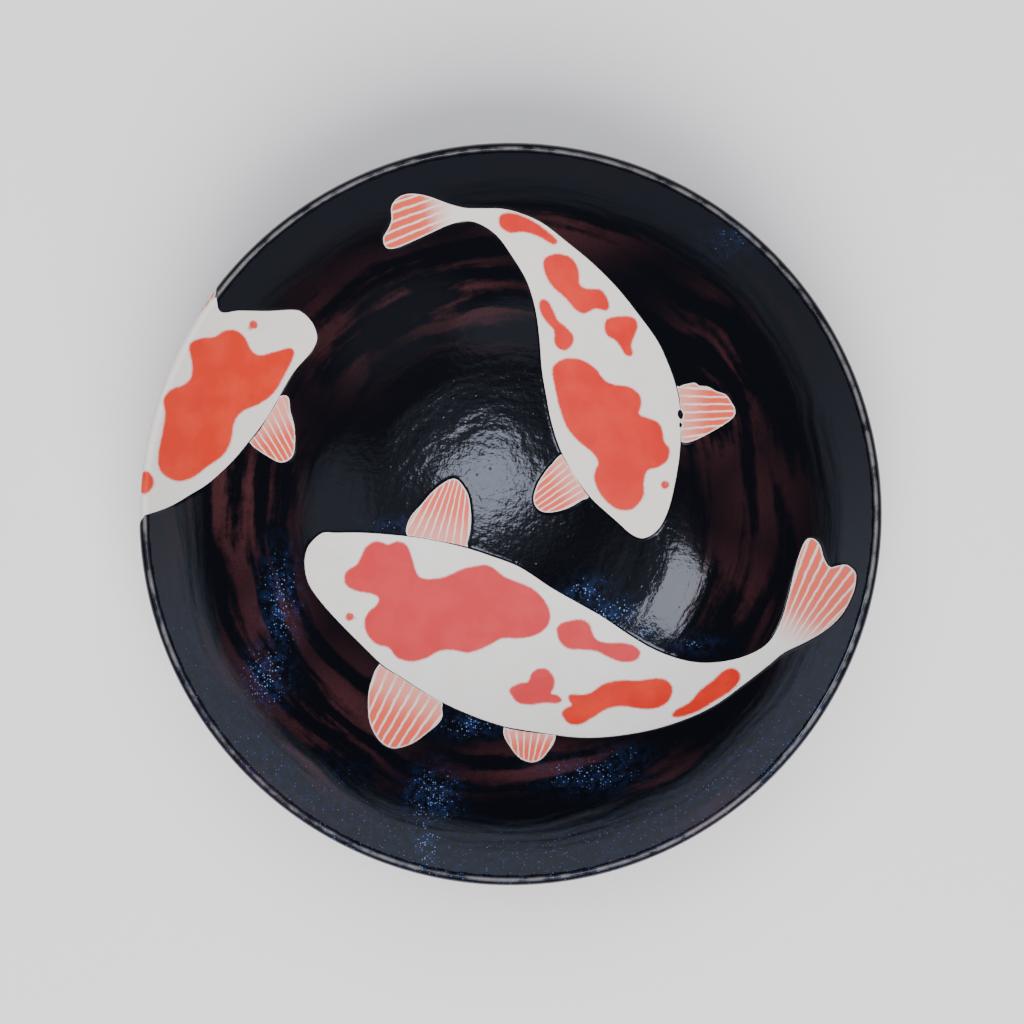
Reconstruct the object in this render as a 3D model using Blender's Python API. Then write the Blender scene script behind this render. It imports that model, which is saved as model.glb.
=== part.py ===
"""Koi dish: a shallow round porcelain bowl with three white and red koi in a black glaze.

The bowl rests on its foot ring with +Z up. Sizes are in metres. Outlines are drawn in millimetres for
a bowl of DRAWN_RADIUS and are scaled with the rim, so each koi keeps its place when the rim changes.
Everything painted or glazed follows one profile: the finished face of the bowl, from the middle of
the floor up the wall, over the lip and down the outside.
"""
import math

import bmesh
import bpy
import numpy as np

MM = 0.001
RIM_RADIUS = 125.0 * MM
LIP_RADIUS = 1.8 * MM
FLOOR_ARC = 300.0 * MM
FLOOR_EDGE = 48.0 * MM
WALL_ARC = 130.0 * MM
FLOOR_TOP = 8.0 * MM
FLOOR_THICKNESS = 6.0 * MM
GLAZE_THICKNESS = 0.8 * MM
SLIP_DEPTH = 0.1 * MM
GAP = 0.3 * MM
FOOT_OUTER = 60.0 * MM
FOOT_INNER = 53.0 * MM
FOOT_TAPER = 1.2 * MM
FOOT_EDGE = 1.0 * MM
EYE_RADIUS = 1.1 * MM
SEGMENTS = 48
FLOOR_STEPS = 2
WALL_STEPS = 5
LIP_STEPS = 4
DRAWN_RADIUS = 125.0
SCALE = RIM_RADIUS / DRAWN_RADIUS
# room left beyond the usual gap where one painted piece is cut back for another
TRIM = 0.1 * MM
# how far the recess glaze keeps its full thickness short of the foot ring
RECESS_ROLL = 2.0 * MM
# cutters: height above the glaze, height of upright prisms, and reach of the wedges that cut the wall
CUT_ABOVE = 3.0 * MM
PRISM_TOP = RIM_RADIUS
WEDGE_RISE = 6.3 * SCALE
WEDGE_NEAR = 0.75
WEDGE_FAR = 1.6
# typical radius of the outside wall as a share of the rim, for turning degrees into millimetres
WALL_SHARE = 0.8
# angles on the roll of the lip: its crest, how far painted pieces and cutters run past it
CREST = math.pi / 2.0
LIP_PART = math.radians(9.0)
CUT_PART = math.radians(30.0)

LEFT_BODY = [(-100.5, 75), (-98, 68.5), (-88, 69.3), (-74, 70), (-68.5, 66), (-67, 60.5), (-70, 55),
             (-76.5, 47), (-83, 35.5), (-90, 25.5), (-99.5, 14), (-109, 6.8), (-120, 0.8), (-128, -2),
             (-132, 20), (-126, 50), (-112, 70)]
LEFT_FIN = [(-77.5, 42), (-74.5, 30.5), (-74.8, 22.5), (-77, 18.2), (-81, 18), (-88.8, 23.5),
            (-92, 29), (-85, 38)]
LEFT_PATCH = [(-108, 57.5), (-100.5, 60), (-96, 62.7), (-91, 60.5), (-86.5, 54.7), (-75, 57),
              (-75.8, 50.8), (-82, 41.5), (-90.3, 36), (-94.5, 32), (-96.5, 23.5), (-104.8, 15.3),
              (-114, 11.3), (-118.7, 15), (-117.2, 30), (-117, 38.5), (-111, 43.7), (-108, 49)]
LEFT_SPOT = [(-120.3, 10.8), (-121.5, 14.2), (-126, 15.5), (-128, 11), (-126, 6.3), (-121.5, 7.5)]
LEFT_EYE = (-87.7, 64.6)
# degrees round the bowl and millimetres down the outside from the crest of the lip
LEFT_REAR = [(143.4, -6), (144, -1), (147.3, 2), (150.5, 10), (157, 23), (169, 31), (182, 34), (192, 37),
             (199, 44), (206, 54), (211, 57), (213, 51), (210.5, 43), (215, 37), (213, 31), (205, 28),
             (197, 26), (190, 16), (185, 8), (181, 1), (180.8, -6)]
LEFT_FAR_FIN = [(143.6, 0.5), (142, 3.5), (139, 10), (136.3, 17), (136, 22), (138, 26), (142, 26.5),
                (148, 24), (155, 24), (150, 8), (146.5, 0.5)]

UPPER_BODY = [(-43.5, 94.5), (-40.5, 100), (-40.3, 104.5), (-36.5, 108), (-32, 108.7), (-21, 106),
              (-13, 104.5), (-3, 104.4), (8, 101), (19, 94), (31, 84), (44, 69.5), (52.5, 57),
              (57.5, 45), (59.5, 31), (58.2, 14.5), (55.5, 1.5), (52, -5), (46, -8.4), (40.5, -5.5),
              (30, 3), (22.3, 13.7), (15.5, 28.5), (11.5, 48), (9.5, 66), (5.3, 81.5), (-1, 91.3),
              (-8, 98.5), (-15, 100.5), (-23, 98.5), (-37.5, 92), (-42.3, 91)]
UPPER_RIGHT_FIN = [(57.5, 43), (61, 45.4), (66, 45), (72.3, 41.8), (77.5, 37), (77, 33.5), (71.8, 29),
                   (62, 24.8), (57, 26)]
UPPER_LEFT_FIN = [(19, 21), (14, 17.3), (9.7, 11.3), (8.2, 5), (10, 1.7), (15, 0.8), (21.3, 2.8),
                  (27.5, 6), (25, 14)]
UPPER_PATCHES = [
    [(-4, 101), (-1.5, 103), (3.3, 102.8), (9, 100.5), (16.7, 94.8), (15.5, 93), (9, 96), (3, 97.4),
     (-2, 98)],
    [(11.2, 86.9), (14.5, 90), (18.5, 89.8), (22.7, 86), (24.5, 80), (31, 77.8), (34.5, 72.5),
     (30, 71.3), (25.6, 69.7), (20, 74), (13.5, 80)],
    [(10, 73.5), (12, 74.8), (15, 71.5), (17.5, 66.7), (22, 62), (21, 58), (17.5, 57.5), (15.2, 61),
     (14.5, 65), (11, 69.5)],
    [(32.8, 67), (36, 68.4), (42.5, 68.2), (44.2, 65), (42.4, 60), (42.3, 55.3), (39.3, 56.5),
     (36.5, 60.3), (33.2, 62.5)],
    [(15.3, 52.2), (20, 54.6), (26, 53.7), (33, 47), (41, 44.6), (45.8, 40.5), (45.2, 35.2),
     (51.5, 32.3), (53.2, 27), (55.8, 22.5), (53.5, 17), (48, 14.5), (46.8, 6), (43, 1.8),
     (37.5, 1.8), (31, 7.5), (29.2, 13.5), (30.6, 18), (28, 22.3), (20, 30.3), (16.5, 40)]]
UPPER_EYE = (54.0, 10.2)

LOWER_BODY = [(-71.8, -17.5), (-70, -10.5), (-65, -6.5), (-52, -6.7), (-34, -8.2), (-15, -12),
              (3.3, -18.8), (23, -31), (41, -42), (50, -47.2), (60, -50.9), (70, -51.6),
              (81, -48.8), (88.8, -44.2), (93.5, -35.5), (97.2, -21), (99.5, -13.5), (102.8, -8.3),
              (106, -11.3), (107.3, -16.5), (109.7, -18.4), (113.5, -17), (116.7, -21), (115.7, -27),
              (111, -35.7), (101, -43.5), (90, -50.5), (79.5, -59), (66, -68.5), (51, -74),
              (36, -77), (21, -77.5), (3.3, -75), (-15, -69.5), (-33, -60.3), (-45, -52.5),
              (-59, -38.5), (-70, -25)]
LOWER_TOP_FIN = [(-19.8, 12.2), (-17, 10.3), (-14.5, 4), (-14, -3), (-15, -9), (-18, -14),
                 (-33, -11), (-37, -7), (-35, -0.7), (-28, 7.2), (-22.5, 11.5)]
LOWER_SIDE_FIN = [(-44.5, -51), (-47, -54.5), (-49.3, -64), (-48.7, -72), (-45.8, -77.8),
                  (-40.5, -80.9), (-33.8, -79.3), (-26.5, -74), (-23.5, -69), (-24, -64), (-35, -56)]
LOWER_BELLY_FIN = [(-2.4, -75.5), (-0.9, -79.5), (2.5, -84), (7, -86), (11, -84.5), (15.4, -78.5),
                   (15, -74.5), (6, -73), (-1, -72.5)]
LOWER_PATCHES = [
    [(-58.2, -21.8), (-54, -17.5), (-50.8, -11.7), (-47, -9.5), (-39, -9.6), (-36, -11.5),
     (-33, -20), (-29.5, -22.6), (-20, -20.8), (-9, -17.8), (-1.5, -23.2), (7.2, -26),
     (12.8, -30.5), (14.2, -36), (11, -41.5), (3, -43.9), (-5, -45), (-14.5, -48.7), (-24, -48.1),
     (-34.5, -51.8), (-41, -49.5), (-48.5, -44.5), (-51, -38), (-46.7, -30.5), (-55, -26.7)],
    [(16, -40.5), (19.5, -37.6), (25, -37.1), (28.3, -39.5), (30, -44), (38.5, -45), (44.8, -47),
     (44, -51), (38.5, -51.8), (29, -48), (20.5, -47.5), (16.5, -44.3)],
    [(-0.4, -62.5), (2, -59.8), (6.2, -58.2), (8, -55), (12, -54), (15.5, -57.5), (15, -62),
     (17.8, -64.6), (15.5, -66.3), (5, -66.6), (0.8, -65)],
    [(17.9, -70.2), (20.6, -66.5), (20.3, -63.5), (26.5, -62.8), (33, -59.2), (42, -57.8),
     (52, -57), (55.9, -60.5), (54.2, -65.6), (47, -67.8), (37, -67.2), (29.5, -70.4),
     (23, -73.4)],
    [(56, -69.8), (59, -66.8), (65, -61.4), (72, -55.5), (77, -53.2), (79, -57), (74, -62.3),
     (65, -68), (58, -70.2)]]
LOWER_EYE = (-56.1, -35.8)

COLOURS = {
    "porcelain": (0.78, 0.74, 0.68, 0.65),
    "black glaze": (0.008, 0.009, 0.016, 0.12),
    "white slip": (0.70, 0.67, 0.63, 0.40),
    "fin wash": (0.78, 0.28, 0.18, 0.40),
    "red stain": (0.66, 0.06, 0.035, 0.42),
}


def clear_scene():
    for item in list(bpy.data.objects):
        bpy.data.objects.remove(item, do_unlink=True)


def material(name):
    found = bpy.data.materials.get(name)
    if found:
        return found
    made = bpy.data.materials.new(name)
    made.use_nodes = True
    shader = made.node_tree.nodes["Principled BSDF"]
    red, green, blue, rough = COLOURS[name]
    shader.inputs["Base Color"].default_value = (red, green, blue, 1.0)
    shader.inputs["Roughness"].default_value = rough
    return made


def stations():
    """Points and outward normals of the finished inner face, middle of the floor to the lip."""
    floor_slope = math.asin(FLOOR_EDGE / FLOOR_ARC)
    wall_centre = FLOOR_EDGE - WALL_ARC * math.sin(floor_slope)
    top_sine = (RIM_RADIUS - LIP_RADIUS - wall_centre) / (WALL_ARC + LIP_RADIUS)
    top_slope = math.asin(top_sine)
    found = []
    for slope in np.linspace(0.0, floor_slope, FLOOR_STEPS + 1)[:-1]:
        radius = FLOOR_ARC * math.sin(slope)
        height = FLOOR_TOP + FLOOR_ARC * (1.0 - math.cos(slope))
        found.append((radius, height, slope))
    base = FLOOR_TOP + FLOOR_ARC * (1.0 - math.cos(floor_slope)) + WALL_ARC * math.cos(floor_slope)
    for slope in np.linspace(floor_slope, top_slope, WALL_STEPS + 1):
        radius = wall_centre + WALL_ARC * math.sin(slope)
        found.append((radius, base - WALL_ARC * math.cos(slope), slope))
    return found


def wall_thickness(radius):
    """Total thickness of body and glaze, thinning from the floor to the lip."""
    share = min(1.0, radius / (RIM_RADIUS - LIP_RADIUS))
    return FLOOR_THICKNESS + (2.0 * LIP_RADIUS - FLOOR_THICKNESS) * share


def inner_line(depth):
    """Inner face, floor to lip, a given depth below the finished face."""
    line = []
    for radius, height, slope in stations():
        line.append((radius + depth * math.sin(slope), height - depth * math.cos(slope)))
    return line


def outer_line(depth, stop=0.0):
    """Outer face, lip down to the radius stop, a given depth inside the finished face."""
    line = []
    for radius, height, slope in reversed(stations()):
        reach = wall_thickness(radius) - depth
        point = (radius + reach * math.sin(slope), height - reach * math.cos(slope))
        if point[0] >= stop:
            line.append(point)
            last = point
        else:
            share = (last[0] - stop) / (last[0] - point[0])
            line.append((stop, last[1] + (point[1] - last[1]) * share))
            break
    return line


def lip_line(depth, start, end):
    """Roll of the lip between two angles measured from the rim's outward direction."""
    radius, height, slope = stations()[-1]
    centre_x = radius + LIP_RADIUS * math.sin(slope)
    centre_z = height - LIP_RADIUS * math.cos(slope)
    size = LIP_RADIUS - depth
    line = []
    for angle in np.linspace(start, end, LIP_STEPS + 1):
        line.append((centre_x + size * math.cos(angle), centre_z + size * math.sin(angle)))
    return line


def lip_inside():
    return math.pi / 2.0 + stations()[-1][2]


def lip_outside():
    return stations()[-1][2] - math.pi / 2.0


def whole_line(depth, stop=0.0):
    """Face from the middle of the floor, over the lip and down the outside."""
    roll = lip_line(depth, lip_inside(), lip_outside())[1:-1]
    return inner_line(depth) + roll + outer_line(depth, stop)


def clean(name, mesh_tool):
    """Turns a bmesh into a named object with outward normals."""
    bmesh.ops.remove_doubles(mesh_tool, verts=mesh_tool.verts, dist=0.00001)
    bmesh.ops.recalc_face_normals(mesh_tool, faces=mesh_tool.faces)
    mesh = bpy.data.meshes.new(name)
    mesh_tool.to_mesh(mesh)
    mesh_tool.free()
    made = bpy.data.objects.new(name, mesh)
    bpy.context.scene.collection.objects.link(made)
    return made


def revolve(name, profile, closed):
    """Turns a profile of (radius, height) points about the bowl's axis."""
    tool = bmesh.new()
    corners = [tool.verts.new((radius, 0.0, height)) for radius, height in profile]
    edges = [tool.edges.new(pair) for pair in zip(corners[:-1], corners[1:])]
    if closed:
        edges.append(tool.edges.new((corners[-1], corners[0])))
    bmesh.ops.spin(tool, geom=corners + edges, axis=(0, 0, 1), cent=(0, 0, 0),
                   angle=2.0 * math.pi, steps=SEGMENTS, use_merge=True)
    return clean(name, tool)


def smooth(points, samples=2):
    """Closed curve through the points, with a few straight steps between neighbours."""
    corner = np.array(points, dtype=float)
    before, after, beyond = np.roll(corner, 1, 0), np.roll(corner, -1, 0), np.roll(corner, -2, 0)
    steps = []
    for share in np.arange(samples) / samples:
        steps.append(0.5 * (2.0 * corner + (after - before) * share
                            + (2.0 * before - 5.0 * corner + 4.0 * after - beyond) * share ** 2
                            + (3.0 * corner - before - 3.0 * after + beyond) * share ** 3))
    return np.stack(steps, axis=1).reshape(-1, 2)


def grow(points, distance):
    """Moves a closed line outward by a distance."""
    along = np.roll(points, -1, 0) - np.roll(points, 1, 0)
    along /= np.linalg.norm(along, axis=1)[:, None]
    side = np.stack([along[:, 1], -along[:, 0]], axis=1)
    following = np.roll(points, -1, 0)
    area = np.sum(points[:, 0] * following[:, 1] - following[:, 0] * points[:, 1])
    return points + side * distance * (1.0 if area > 0.0 else -1.0)


def loft(name, lower, upper):
    """Closed solid between two matching rings of points."""
    tool = bmesh.new()
    low = [tool.verts.new(point) for point in lower]
    high = [tool.verts.new(point) for point in upper]
    tool.faces.new(low)
    tool.faces.new(high)
    for index in range(len(low)):
        after = (index + 1) % len(low)
        tool.faces.new((low[index], low[after], high[after], high[index]))
    return clean(name, tool)


def upright(name, points, extra=0.0):
    """Upright prism over a drawn outline, grown by extra."""
    ring = grow(smooth(points) * SCALE, extra)
    return loft(name, [(x, y, 0.0) for x, y in ring], [(x, y, PRISM_TOP) for x, y in ring])


def disc(centre, radius):
    """Round drawn outline of a radius in metres."""
    turns = np.arange(10) * 2.0 * math.pi / 10.0
    return [(centre[0] + radius / SCALE * math.cos(a), centre[1] + radius / SCALE * math.sin(a))
            for a in turns]


def fan(name, points, extra=0.0):
    """Wedge from a point above the bowl through an outline on the outside wall."""
    line = np.array(lip_line(0.0, math.pi / 2.0, lip_outside()) + outer_line(0.0)[1:])
    travel = np.concatenate([[0.0], np.cumsum(np.linalg.norm(np.diff(line, axis=0), axis=1))])
    apex = line[0][1] + WEDGE_RISE
    degree = math.radians(1.0) * DRAWN_RADIUS * WALL_SHARE
    flat = grow(smooth(points) * [degree, 1.0], extra / SCALE) / [degree, 1.0]
    near, far = [], []
    for angle, down in flat:
        radius = np.interp(down * SCALE, travel, line[:, 0])
        height = np.interp(down * SCALE, travel, line[:, 1]) + max(0.0, -down * SCALE)
        turn = math.radians(angle)
        for share, ring in ((WEDGE_NEAR, near), (WEDGE_FAR, far)):
            ring.append((share * radius * math.cos(turn), share * radius * math.sin(turn),
                         apex + share * (height - apex)))
    return loft(name, near, far)


def boolean(target, cutter, operation):
    """Applies one boolean and leaves the target as a plain mesh."""
    step = target.modifiers.new("cut", "BOOLEAN")
    step.operation = operation
    step.solver = "EXACT"
    step.object = cutter
    bpy.context.view_layer.update()
    view = target.evaluated_get(bpy.context.evaluated_depsgraph_get())
    mesh = bpy.data.meshes.new_from_object(view)
    target.modifiers.clear()
    target.data = mesh
    tool = bmesh.new()
    tool.from_mesh(mesh)
    bmesh.ops.remove_doubles(tool, verts=tool.verts, dist=0.00001)
    bmesh.ops.dissolve_limit(tool, angle_limit=0.002, verts=tool.verts, edges=tool.edges)
    bmesh.ops.triangulate(tool, faces=[face for face in tool.faces if len(face.verts) > 4])
    tool.to_mesh(mesh)
    tool.free()


def drop(*items):
    for item in items:
        bpy.data.objects.remove(item, do_unlink=True)


def finish(item, name, look):
    """Names the part, gives it its material and shades it smooth."""
    item.name = name
    item.data.name = name
    item.data.materials.clear()
    item.data.materials.append(material(look))
    for face in item.data.polygons:
        face.use_smooth = True
    return item


def inside_layer(top, bottom, end):
    """Skin on the inner face, from the middle of the floor to an angle on the lip."""
    upper = inner_line(top) + lip_line(top, lip_inside(), end)[1:]
    lower = inner_line(bottom) + lip_line(bottom, lip_inside(), end)[1:]
    return revolve("inside layer", upper + lower[::-1], False)


def outside_layer(top, bottom, start):
    """Skin on the outer face, from an angle on the lip down to the foot."""
    upper = lip_line(top, start, lip_outside()) + outer_line(top, FOOT_OUTER)[1:]
    lower = lip_line(bottom, start, lip_outside()) + outer_line(bottom, FOOT_OUTER)[1:]
    return revolve("outside layer", upper + lower[::-1], True)


def panel(name, points, look, holes=(), trims=()):
    """Painted piece set into the glaze: a patch of skin with an outline, less its holes."""
    piece = inside_layer(SLIP_DEPTH, GLAZE_THICKNESS, CREST + LIP_PART)
    shape = upright("shape", points)
    boolean(piece, shape, "INTERSECT")
    drop(shape)
    for outline in tuple(holes) + tuple(trims):
        shape = upright("shape", outline, GAP + (TRIM if outline in trims else 0.0))
        boolean(piece, shape, "DIFFERENCE")
        drop(shape)
    return finish(piece, name, look)


def make_body():
    profile = whole_line(GLAZE_THICKNESS + GAP)
    return finish(revolve("body", profile, False), "bowl_body", "porcelain")


def make_foot():
    seat = outer_line(GLAZE_THICKNESS, FOOT_INNER)[::-1]
    edge = outer_line(GLAZE_THICKNESS, FOOT_OUTER)[-1]
    top = [point for point in seat if point[0] < FOOT_OUTER - GAP] + [edge]
    profile = [*top,
               (FOOT_OUTER - FOOT_TAPER, FOOT_EDGE), (FOOT_OUTER - FOOT_TAPER - FOOT_EDGE, 0.0),
               (FOOT_INNER + FOOT_TAPER + FOOT_EDGE, 0.0), (FOOT_INNER + FOOT_TAPER, FOOT_EDGE)]
    return finish(revolve("foot", profile, True), "foot_ring", "porcelain")


def make_coat(windows):
    """Gloss glaze inside, over the lip and down to the foot, open wherever a koi is painted."""
    stop = FOOT_OUTER + GAP
    profile = whole_line(0.0, stop) + whole_line(GLAZE_THICKNESS, stop)[::-1]
    coat = revolve("coat", profile, False)
    for outline in windows:
        cutter = inside_layer(-CUT_ABOVE, GLAZE_THICKNESS + GAP / 2.0, CREST - CUT_PART)
        shape = upright("shape", outline, GAP)
        boolean(cutter, shape, "INTERSECT")
        boolean(coat, cutter, "DIFFERENCE")
        drop(cutter, shape)
    for outline in (LEFT_REAR, LEFT_FAR_FIN):
        cutter = outside_layer(-CUT_ABOVE, GLAZE_THICKNESS + GAP / 2.0, CREST + CUT_PART)
        shape = fan("shape", outline, GAP)
        boolean(cutter, shape, "INTERSECT")
        boolean(coat, cutter, "DIFFERENCE")
        drop(cutter, shape)
    return finish(coat, "black_glaze_coat", "black glaze")


def make_recess_glaze():
    full = FOOT_INNER - RECESS_ROLL
    upper = [point for point in outer_line(GLAZE_THICKNESS, 0.0) if point[0] < full]
    edge = FOOT_INNER - GAP
    start = outer_line(GLAZE_THICKNESS, edge)[-1]
    end = outer_line(0.0, edge)[-1]
    lower = [point for point in outer_line(0.0, 0.0) if point[0] < full]
    profile = upper[::-1] + [start, end] + lower
    return finish(revolve("recess", profile, False), "recess_glaze", "black glaze")


def make_rear():
    """Rear half of the left koi, carried on down the outside wall."""
    piece = outside_layer(SLIP_DEPTH, GLAZE_THICKNESS, CREST - LIP_PART)
    shape = fan("shape", LEFT_REAR)
    boolean(piece, shape, "INTERSECT")
    drop(shape)
    return finish(piece, "left_koi_outer_rear", "white slip")


def make_far_fin():
    """Fin on the left koi's other side, hanging down the outside wall from the lip."""
    piece = outside_layer(SLIP_DEPTH, GLAZE_THICKNESS, CREST - LIP_PART)
    shape = fan("shape", LEFT_FAR_FIN)
    boolean(piece, shape, "INTERSECT")
    drop(shape)
    shape = fan("shape", LEFT_REAR, GAP + TRIM)
    boolean(piece, shape, "DIFFERENCE")
    drop(shape)
    return finish(piece, "left_koi_far_fin", "fin wash")


def make_left_koi():
    eye = disc(LEFT_EYE, EYE_RADIUS)
    panel("left_koi_body", LEFT_BODY, "white slip", [LEFT_PATCH, LEFT_SPOT, eye])
    panel("left_koi_fin", LEFT_FIN, "fin wash", trims=[LEFT_BODY])
    panel("left_koi_patch", LEFT_PATCH, "red stain")
    panel("left_koi_lip_spot", LEFT_SPOT, "red stain")
    panel("left_koi_eye", eye, "red stain")
    make_rear()
    make_far_fin()


def make_upper_koi():
    eye = disc(UPPER_EYE, EYE_RADIUS)
    panel("upper_koi_body", UPPER_BODY, "white slip", UPPER_PATCHES + [eye])
    panel("upper_koi_right_fin", UPPER_RIGHT_FIN, "fin wash", trims=[UPPER_BODY])
    panel("upper_koi_left_fin", UPPER_LEFT_FIN, "fin wash", trims=[UPPER_BODY])
    for number, outline in enumerate(UPPER_PATCHES, start=1):
        panel("upper_koi_patch_" + str(number), outline, "red stain")
    panel("upper_koi_eye", eye, "red stain")


def make_lower_koi():
    eye = disc(LOWER_EYE, EYE_RADIUS)
    panel("lower_koi_body", LOWER_BODY, "white slip", LOWER_PATCHES + [eye])
    panel("lower_koi_top_fin", LOWER_TOP_FIN, "fin wash", trims=[LOWER_BODY])
    panel("lower_koi_side_fin", LOWER_SIDE_FIN, "fin wash", trims=[LOWER_BODY])
    panel("lower_koi_belly_fin", LOWER_BELLY_FIN, "fin wash", trims=[LOWER_BODY])
    for number, outline in enumerate(LOWER_PATCHES, start=1):
        panel("lower_koi_patch_" + str(number), outline, "red stain")
    panel("lower_koi_eye", eye, "red stain")


clear_scene()
make_body()
make_foot()
make_recess_glaze()
make_coat([LEFT_BODY, LEFT_FIN, UPPER_BODY, UPPER_RIGHT_FIN, UPPER_LEFT_FIN,
           LOWER_BODY, LOWER_TOP_FIN, LOWER_SIDE_FIN, LOWER_BELLY_FIN])
make_left_koi()
make_upper_koi()
make_lower_koi()
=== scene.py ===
import math
from functools import partial

import bmesh
import bpy
import numpy as np
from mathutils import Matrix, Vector, geometry, kdtree


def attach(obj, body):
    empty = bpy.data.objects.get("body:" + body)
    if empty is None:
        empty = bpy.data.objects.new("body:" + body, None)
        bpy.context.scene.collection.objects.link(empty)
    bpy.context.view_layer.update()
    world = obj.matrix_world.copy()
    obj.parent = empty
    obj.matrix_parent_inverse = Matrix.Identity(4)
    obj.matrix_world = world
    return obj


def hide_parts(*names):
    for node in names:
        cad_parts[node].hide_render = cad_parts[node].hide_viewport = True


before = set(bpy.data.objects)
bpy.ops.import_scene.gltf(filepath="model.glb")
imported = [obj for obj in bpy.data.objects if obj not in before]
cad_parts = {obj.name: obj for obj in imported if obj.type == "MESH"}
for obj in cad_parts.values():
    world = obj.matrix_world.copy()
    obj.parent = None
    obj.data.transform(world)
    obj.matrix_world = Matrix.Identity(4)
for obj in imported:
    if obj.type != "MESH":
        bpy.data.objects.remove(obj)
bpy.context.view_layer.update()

# ----------------------------------------
# Bowl body. Thrown white porcelain, fired with everything else on it. Slip and glaze cover all
# of it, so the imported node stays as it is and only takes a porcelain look.
MM = 0.001
SMOOTH = {"interpolation_type": "SMOOTHSTEP"}
RGBA = {"data_type": "RGBA"}


def linear(text):
    """sRGB hex colour as linear red, green, blue and alpha."""
    parts = [int(text[i : i + 2], 16) / 255.0 for i in (1, 3, 5)]
    return [p / 12.92 if p <= 0.04045 else ((p + 0.055) / 1.055) ** 2.4 for p in parts] + [1.0]


def add_node(tree, kind, *values, named=None, **settings):
    """Adds a shader node. Settings are its properties, values its live inputs in order and named
    those by name. A value may be a socket, or a node, which stands for its first live output."""
    node = tree.nodes.new("ShaderNode" + kind)
    for key, value in settings.items():
        setattr(node, key, value)
    wanted = list(zip([socket for socket in node.inputs if socket.enabled], values))
    wanted += [(node.inputs[key], value) for key, value in (named or {}).items()]
    for socket, value in wanted:
        if isinstance(value, bpy.types.Node):
            value = next(output for output in value.outputs if output.enabled)
        if isinstance(value, bpy.types.NodeSocket):
            tree.links.new(value, socket)
        else:
            socket.default_value = value
    return node


def start_material(name):
    """Empty node material, add_node for its own tree, and its coordinates in metres."""
    made = bpy.data.materials.new(name)
    made.use_nodes = True
    made.node_tree.nodes.clear()
    add = partial(add_node, made.node_tree)
    return made, add, add("TexCoord").outputs["Object"]


# Bare porcelain: warm off-white, dry, with faint stains some 17 mm wide. Its grit is finer than a
# hair, so it is drawn 1.1 mm wide to show at all.
porcelain, add, place = start_material("porcelain")
grit = add("TexNoise", place, 1.0 / (1.11 * MM), 3.0)
stain = add("MapRange", add("TexNoise", place, 1.0 / (16.7 * MM), 3.0), 0.45, 0.75, **SMOOTH)
tone = add("Mix", stain, linear("#D9D0C2"), linear("#B9AD9C"), **RGBA)
bump = add("Bump", named={"Strength": 0.35, "Distance": 0.2 * MM, "Height": grit})
add("OutputMaterial", add("BsdfPrincipled", named={
    "Base Color": tone, "Roughness": 0.62, "Normal": bump}))


def dress(node, made):
    """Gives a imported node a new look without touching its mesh."""
    for index in range(len(node.material_slots)):
        node.material_slots[index].link = "OBJECT"
        node.material_slots[index].material = made


dress(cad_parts["bowl_body"], porcelain)

# ----------------------------------------
# Foot ring. Turned from the same porcelain while leather-hard and wiped clean of glaze, with
# rounded arrises and a faint step where the glaze stops above it. All sizes are in mm, and the
# bowl's own curves come first, because its top follows the bowl's underside.
RIM = 125.0
LIP = 1.8
FLOOR_ARC = 300.0
FLOOR_EDGE = 48.0
WALL_ARC = 130.0
FLOOR_TOP = 8.0
FLOOR_THICKNESS = 6.0
FOOT_OUTER = 60.0
FOOT_INNER = 53.0
FLOOR_SLOPE = math.asin(FLOOR_EDGE / FLOOR_ARC)
WALL_CENTRE = FLOOR_EDGE - WALL_ARC * math.sin(FLOOR_SLOPE)
WALL_BASE = FLOOR_TOP + FLOOR_ARC - (FLOOR_ARC - WALL_ARC) * math.cos(FLOOR_SLOPE)
WALL_END = math.asin((RIM - LIP - WALL_CENTRE) / (WALL_ARC + LIP))
WALL_TOP = WALL_CENTRE + WALL_ARC * math.sin(WALL_END)
CREST = RIM - LIP
LIP_HEIGHT = WALL_BASE - (WALL_ARC + LIP) * math.cos(WALL_END)


def slope_at(radius):
    """Slope of the bowl's inner face at a radius."""
    floor = np.arcsin(np.minimum(radius, FLOOR_EDGE) / FLOOR_ARC)
    wall = np.arcsin(np.clip((radius - WALL_CENTRE) / WALL_ARC, 0.0, math.sin(WALL_END)))
    lip = np.arcsin(np.clip((CREST - radius) / LIP, 0.0, 1.0))
    return np.where(radius < FLOOR_EDGE, floor, np.where(radius < WALL_TOP, wall, lip))


def height_at(radius):
    """Height of the bowl's inner face at a radius, up to the crest of the lip."""
    floor = FLOOR_TOP + FLOOR_ARC * (1.0 - np.cos(slope_at(np.minimum(radius, FLOOR_EDGE - 1e-6))))
    wall = WALL_BASE - WALL_ARC * np.cos(slope_at(np.clip(radius, FLOOR_EDGE, WALL_TOP - 1e-6)))
    lip = LIP_HEIGHT + np.sqrt(np.clip(LIP ** 2 - (CREST - radius) ** 2, 0.0, None))
    return np.where(radius < FLOOR_EDGE, floor, np.where(radius < WALL_TOP, wall, lip))


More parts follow.
